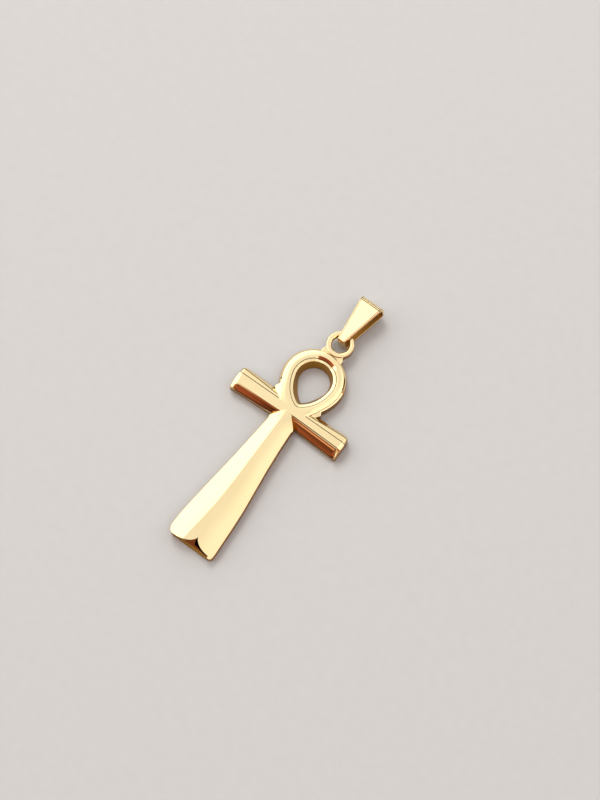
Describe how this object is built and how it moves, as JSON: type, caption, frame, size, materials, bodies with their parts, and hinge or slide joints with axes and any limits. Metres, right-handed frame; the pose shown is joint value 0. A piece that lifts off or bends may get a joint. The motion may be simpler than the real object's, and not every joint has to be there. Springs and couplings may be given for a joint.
{
  "type": "ankh pendant",
  "caption": "Ankh pendant: flared cross with a drop-shaped loop and an eye cast in one, and a folded tapered bail that swings in the eye to take a neck chain.",
  "frame": {"origin": "on the flat back, under the point where the arms and the shaft cross", "axes": "+Z out of the front face, +Y along the pendant's length from the foot to the bail, +X along the arms"},
  "size_m": [0.0184, 0.0438, 0.0031],
  "materials": {
    "gold_casting": "polished yellow gold plate",
    "gold_sheet": "polished yellow gold plate"
  },
  "bodies": {
    "cross": {"ankh": "gold_casting"},
    "bail": {"bail": "gold_sheet"}
  },
  "joints": [
    {"name": "bail_swing", "type": "hinge", "parent": "cross", "child": "bail", "pos_m": [0.0002, 0.01363, 0.00141], "axis": [1, 0, 0], "range_deg": [-110, 110]}
  ]
}
